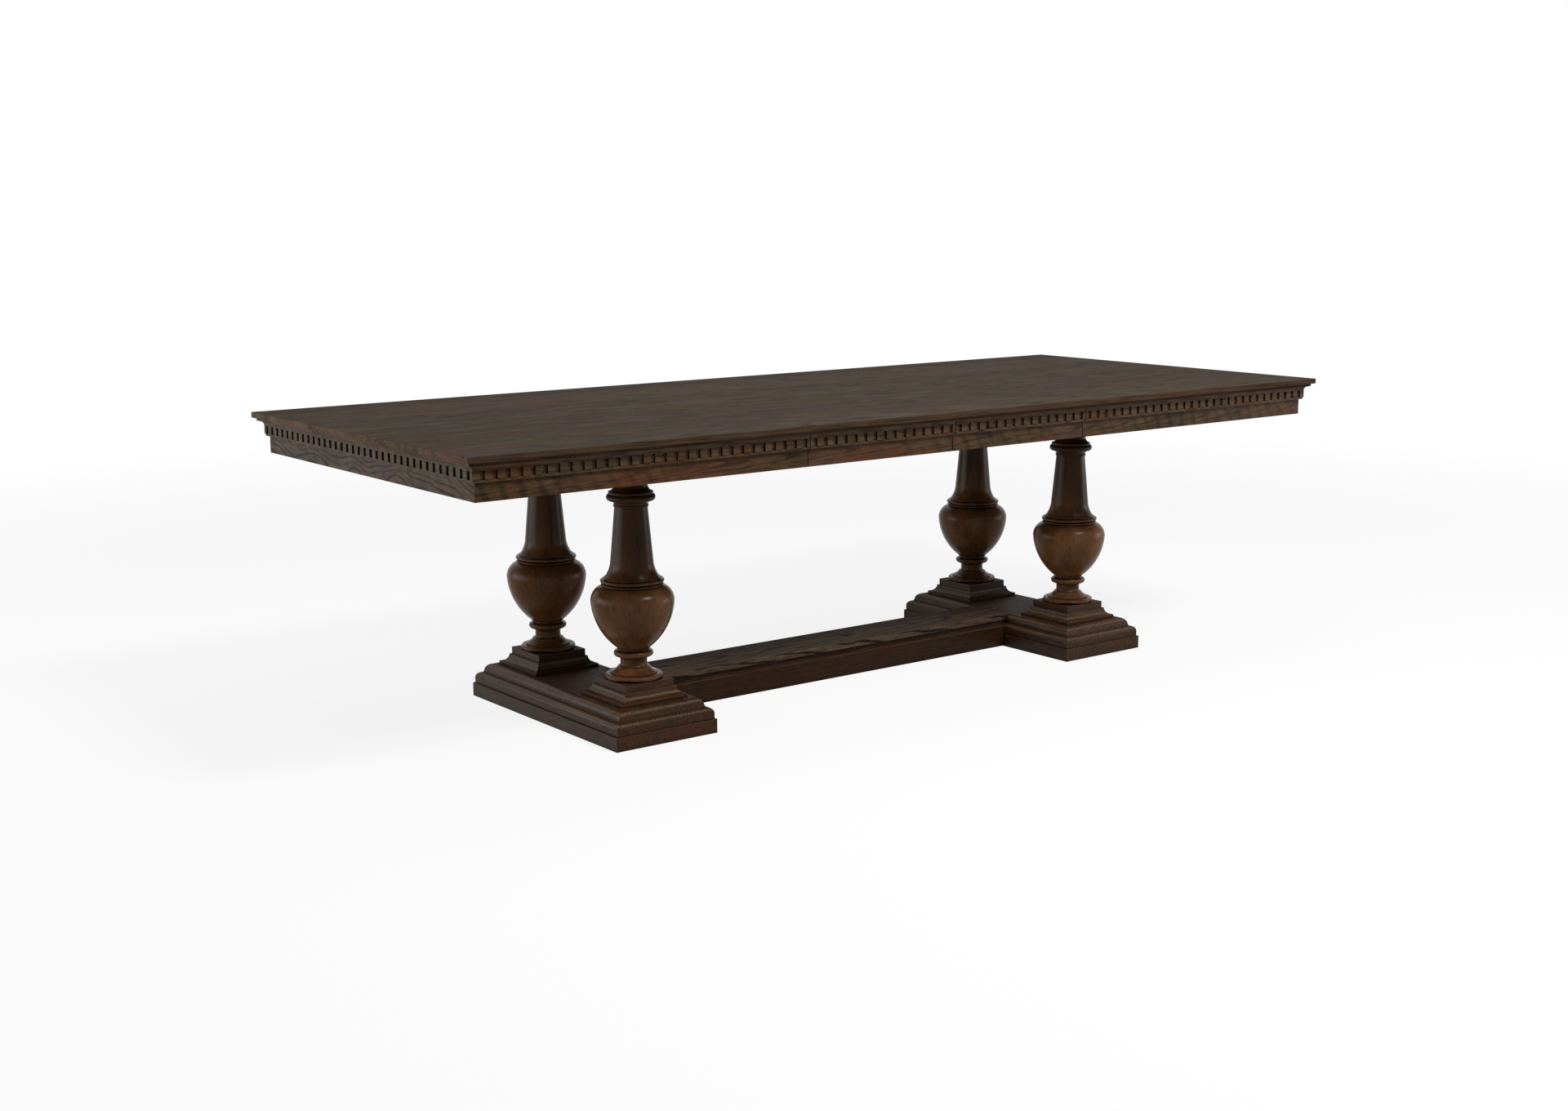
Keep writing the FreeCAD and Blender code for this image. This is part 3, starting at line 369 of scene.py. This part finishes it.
def year_rings(n, place, look):
    """Dark porous lines of the year rings, cut as long arches by the face."""
    reach = look["wander"]
    wander = n.vector("SUBTRACT", n.noise(place, *RING_WANDER, output=1), (0.5, 0.5, 0.5))
    bent = n.vector("ADD", place, n.vector("MULTIPLY", wander, (0.0, reach, reach)))
    across = n.vector("ADD", n.vector("MULTIPLY", bent, (0.0, 1.0, 1.0)), look["heart"])
    radius = n.add_share(n.parts(place, 0), look["taper"], n.vector("LENGTH", across, output=1))
    radius = n.add_share(n.noise(place, *RING_RIPPLE), reach * 1.2, radius)
    radius = n.add_share(n.noise(place, *RING_WAVE), look["wave"], radius)
    rings = n.maths("DIVIDE", radius, look["ring"])
    phase = n.maths("FRACT", rings)
    force = n.between(n.row_noise(n.maths("FLOOR", rings), 0.71), 0.30, 0.62, 0.25)
    line = n.times(n.between(phase, 0.0, 0.10), n.between(phase, look["ring_line"], 0.12))
    return n.times(line, force), bent


def flame(n, place):
    """Soft bars that lean across the grain, where it rises and falls in the board."""
    lean = n.add_share(n.parts(place, 2), 0.55, n.parts(place, 0))
    turns = n.add_share(n.noise(place, 3.5, 7.0, 2.0), 1.6, n.maths("DIVIDE", lean, FLAME_PITCH))
    bar = n.between(n.maths("SINE", n.times(turns, math.tau)), 0.05, 0.95)
    return n.times(bar, n.between(n.noise(place, 1.4, 1.4, 1.0), 0.40, 0.56))


def recess(n, reach, open_level, deep_level):
    """How deep a place lies in a groove or corner, where painted shade darkens it."""
    open_share = n.node("ShaderNodeAmbientOcclusion", 1, {"Distance": reach}, samples=6)
    return n.between(open_share, open_level, deep_level, 0.0, 0.94)


def rounded(n, radius):
    """A normal that eases sharp edges."""
    return n.node("ShaderNodeBevel", inputs={"Radius": radius}, samples=4)


def rubbed_edge_and_highlight(n, grain):
    """Where an outer edge has been rubbed back to a paler brown, which is also a painted highlight
    along it.
    """
    true = n.node("ShaderNodeNewGeometry", "Normal")
    level = n.vector("DOT_PRODUCT", true, rounded(n, ARRIS * 2), output=1)
    outer = n.node("ShaderNodeAmbientOcclusion", 1, {"Distance": 0.004}, samples=4, inside=True)
    rubbed = n.times(n.between(level, 0.985, 0.90), n.between(outer, 0.45, 0.75))
    return n.times(rubbed, n.between(grain, 0.42, 0.60, 0.15, 0.60))


def crest(n, grain):
    """The upper rounds of the mouldings, rubbed paler, which also stands in for light on them."""
    upward = n.parts(n.node("ShaderNodeNewGeometry", "Normal"), 2)
    band = n.times(n.between(upward, 0.46, 0.64), n.between(upward, 0.90, 0.76))
    return n.times(band, n.between(grain, 0.38, 0.62, 0.35, 1.0))


def facing(n, axis, turned=0.25, square=0.75):
    """One on faces square to the axis and nought on the others."""
    normal = n.node("ShaderNodeNewGeometry", "Normal")
    return n.between(n.maths("ABSOLUTE", n.parts(normal, axis)), turned, square)


def oak(name, look, grain, middle, index):
    """Stained oak: year rings, pores, fibre, cross figure, stain patches, painted shade in grooves,
    painted light and shade by face, and rubbed edges that are also painted highlights.
    """
    material, n = new_material(name)
    place = grain_place(n, grain, middle, index)
    tone = 0.5
    if look["stave"]:
        place, tone = staved(n, place, look["stave"])
    line, bent = year_rings(n, place, look)
    fibre = n.noise(bent, *OAK_FIBRE)
    mottle = n.noise(bent, *look["mottle"], 3.0, 0.6)
    open_pores = n.between(n.noise(bent, *OAK_PORES), 0.53, 0.66)
    pores = n.times(open_pores, n.add_share(line, 0.7, 0.3))
    patch = n.noise(place, *OAK_PATCHES)
    soft_tone = n.add_share(fibre, 0.35, n.times(mottle, 0.40))
    soft_tone = n.add_share(patch, 0.25, soft_tone)
    soft_tone = n.add_share(tone, 0.08, soft_tone)
    darkness = n.between(soft_tone, 0.68, 0.38, 0.0, 0.75)
    darkness = n.add_share(line, look["ring_force"], darkness)
    darkness = n.maths("MULTIPLY_ADD", pores, 0.45, darkness, clamp=True)
    pale = n.mix(n.between(patch, 0.46, 0.64), (*look["pale"], 1), (*look["warm"], 1))
    colour = n.mix(darkness, pale, (*look["dark"], 1))
    tint = n.mix(n.between(n.noise(place, *OAK_TINTS), 0.40, 0.60), OLIVE, ROSE)
    colour = n.tinted(look["tint"], colour, tint)
    colour = n.tinted(n.times(flame(n, place), look["flame"]), colour, FLAME_SHADE)
    # Painted shade on the long upright faces and painted light on the end faces, where the tints
    # differ from one.
    colour = n.tinted(facing(n, 1), colour, (*look["edge"], 1))
    colour = n.tinted(facing(n, 0), colour, (*look["end"], 1))
    # Paler outer edges: rubbed stain and a painted highlight.
    colour = n.mix(rubbed_edge_and_highlight(n, fibre), colour, (*look["rubbed_and_highlight"], 1))
    if look["crest"]:
        # Paler upper rounds: rubbed stain and a painted highlight.
        colour = n.mix(n.times(crest(n, fibre), look["crest"]), colour, (*look["rubbed_and_highlight"], 1))
    # Painted shade in grooves and corners.
    colour = n.mix(recess(n, *look["recess"]), colour, (*look["recess_shade"], 1))
    gloss = n.add_share(n.maths("SUBTRACT", fibre, 0.5), 0.16, look["roughness"])
    gloss = n.add_share(facing(n, 2, 0.90, 0.99), look["level_dull"], gloss)
    gloss = n.add_share(pores, 0.15, gloss)
    height = n.add_share(pores, -0.7, n.add_share(line, -0.4, fibre))
    shade(n, colour, gloss, height, look["bump"], look["specular"], soft=rounded(n, ARRIS))
    return material


def turned_wood(name, middle, index):
    """Satin turned legs: warm stain, upright fibre, soft blotches, painted shade in the grooves and
    a painted shade darkening the upper columns.
    """
    material, n = new_material(name)
    place = grain_place(n, "upright", middle, index)
    blotch = n.noise(place, *LEG_BLOTCHES)
    fibre = n.noise(place, *LEG_FIBRE)
    streak = n.between(n.noise(place, *LEG_STREAKS), 0.50, 0.72)
    depth = n.add_share(fibre, 0.35, n.times(blotch, 0.65))
    colour = n.mix(n.between(depth, 0.36, 0.68), (*LEG["dark"], 1), (*LEG["pale"], 1))
    colour = n.mix(n.times(streak, 0.30), colour, (*LEG["streak"], 1))
    height_up = n.parts(n.node("ShaderNodeTexCoord", "Object"), 2)
    # Painted shade: darker up the column, under the table top.
    colour = n.tinted(n.between(height_up, *LEG["rise"]), colour, (*LEG["tone"], 1))
    # Painted shade in the grooves and corners of the turning.
    colour = n.mix(recess(n, *LEG["recess"]), colour, (*LEG["recess_shade"], 1))
    gloss = n.add_share(n.maths("SUBTRACT", blotch, 0.5), 0.14, LEG["roughness"])
    height = n.add_share(blotch, 0.4, n.times(fibre, 0.3))
    shade(n, colour, gloss, height, LEG["bump"], LEG["specular"])
    return material


def steel(name, middle, index):
    """Zinc-plated steel, finely brushed, with dull spots and painted shade in its corners."""
    material, n = new_material(name)
    place = grain_place(n, "length", middle, index)
    brushed = n.noise(place, *STEEL_BRUSHING)
    spots = n.noise(place, *STEEL_SPOTS)
    colour = n.mix(n.between(spots, 0.35, 0.70), (*STEEL["dull"], 1), (*STEEL["bright"], 1))
    # Painted shade in the corners.
    colour = n.mix(recess(n, *STEEL["recess"]), colour, (*STEEL["corner_shade"], 1))
    gloss = n.add_share(spots, 0.22, STEEL["roughness"])
    soft = rounded(n, ARRIS / 2)
    shade(n, colour, gloss, brushed, STEEL["bump"], STEEL["specular"], STEEL["metallic"], soft)
    return material


def finish_of(name, index):
    """The finish of a sub-part, from what the sub-part is."""
    low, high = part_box(name)
    middle = [(a + b) / 2 for a, b in zip(low, high)]
    if name.endswith(STEEL_ENDINGS):
        return steel(name, middle, index)
    if name.endswith("leg"):
        return turned_wood(name, middle, index)
    if name.endswith("board") and name != "gear_board":
        return oak(name, TOP, "length", (0.0, 0.0, middle[2]), index)
    if name.endswith(("pins", "dowels")):
        return oak(name, BEECH, "length", middle, index)
    if name.endswith(("rail", "slide")):
        return oak(name, PLAIN, "length", middle, index)
    if name.endswith("bearer") or name == "gear_board":
        return oak(name, PLAIN, "width", middle, index)
    if name == "stretcher_cap":
        return oak(name, STRETCHER_TOP, "length", middle, index)
    if name == "stretcher_beam":
        return oak(name, SHADED_BEAM, "length", middle, index)
    if name.endswith("plinth"):
        return oak(name, FOOT, "length", middle, index)
    if "foot" in name:
        return oak(name, FOOT, "width", middle, index)
    if "_end_" in name:
        look = END_MOULDING if name.endswith("moulding") else END_APRON
        return oak(name, look, "width", middle, index)
    look = MOULDING if name.endswith("moulding") else APRON
    return oak(name, look, "length", middle, index)


def dress_nodes():
    for index, (name, node) in enumerate(sorted(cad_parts.items())):
        node.data.materials.clear()
        node.data.materials.append(finish_of(name, index))


# Stage, light and camera


def seen_share(n):
    """One for what the camera sees, straight, in metal or through glass; nought for the light."""
    straight = n.node("ShaderNodeLightPath", "Is Camera Ray")
    glossy = n.node("ShaderNodeLightPath", "Is Glossy Ray")
    through = n.node("ShaderNodeLightPath", "Is Transmission Ray")
    return n.maths("MAXIMUM", straight, n.maths("MAXIMUM", glossy, through))


def floor_material():
    """A pale floor that reads white to the camera and still takes a soft shadow near the table."""
    material, n = new_material("pale_floor")
    seen = seen_share(n)
    place = n.node("ShaderNodeTexCoord", "Object")
    near, far = SHADOW_REACH
    share = n.between(n.vector("LENGTH", place, output=1), near, far, FLOOR_WHITE_SHARE, 1.0)
    paint = n.node("ShaderNodeBsdfDiffuse", inputs={"Color": n.mix(seen, FLOOR_PAINT, WHITE)})
    glow = n.node("ShaderNodeEmission", inputs={"Color": WHITE, "Strength": 1.0})
    mixed = n.node("ShaderNodeMixShader", inputs={0: n.times(seen, share), 1: paint, 2: glow})
    n.finish("ShaderNodeOutputMaterial", mixed)
    return material


def add_floor():
    half = FLOOR_SIZE / 2
    mesh = bpy.data.meshes.new("floor")
    corners = [(-half, -half, 0), (half, -half, 0), (half, half, 0), (-half, half, 0)]
    mesh.from_pydata(corners, [], [(0, 1, 2, 3)])
    mesh.materials.append(floor_material())
    floor = bpy.data.objects.new("floor", mesh)
    bpy.context.scene.collection.objects.link(floor)


def set_world():
    world = bpy.data.worlds.new("studio")
    world.use_nodes = True
    n = Nodes(world.node_tree)
    level = n.add_share(seen_share(n), 1.0 - WORLD_LEVEL, WORLD_LEVEL)
    backdrop = n.node("ShaderNodeBackground", inputs={"Color": WHITE, "Strength": level})
    n.finish("ShaderNodeOutputWorld", backdrop)
    bpy.context.scene.world = world


def add_softboxes():
    for name, place, target, width, height, power in SOFTBOXES:
        lamp = bpy.data.lights.new(name, "AREA")
        lamp.shape = "RECTANGLE"
        lamp.size = width
        lamp.size_y = height
        lamp.energy = power
        holder = bpy.data.objects.new(name, lamp)
        holder.location = place
        aim = Vector(target) - Vector(place)
        holder.rotation_euler = aim.to_track_quat("-Z", "Y").to_euler()
        holder.visible_camera = False
        bpy.context.scene.collection.objects.link(holder)


def add_camera():
    camera = bpy.data.cameras.new("camera")
    camera.sensor_width = SENSOR_WIDTH
    camera.lens = SENSOR_WIDTH * FOCAL_SHARE
    holder = bpy.data.objects.new("camera", camera)
    across = math.sin(CAMERA_YAW) * math.cos(CAMERA_PITCH)
    deep = math.cos(CAMERA_YAW) * math.cos(CAMERA_PITCH)
    forward = Vector((across, deep, -math.sin(CAMERA_PITCH)))
    level_right = Vector((math.cos(CAMERA_YAW), -math.sin(CAMERA_YAW), 0))
    level_up = level_right.cross(forward)
    right = math.cos(CAMERA_ROLL) * level_right + math.sin(CAMERA_ROLL) * level_up
    up = math.cos(CAMERA_ROLL) * level_up - math.sin(CAMERA_ROLL) * level_right
    turn = Matrix((right, up, -forward)).transposed().to_4x4()
    holder.matrix_world = Matrix.Translation(CAMERA_PLACE) @ turn
    bpy.context.scene.collection.objects.link(holder)
    bpy.context.scene.camera = holder


dress_nodes()
add_floor()
set_world()
add_softboxes()
add_camera()
bpy.context.scene.view_settings.view_transform = "Standard"
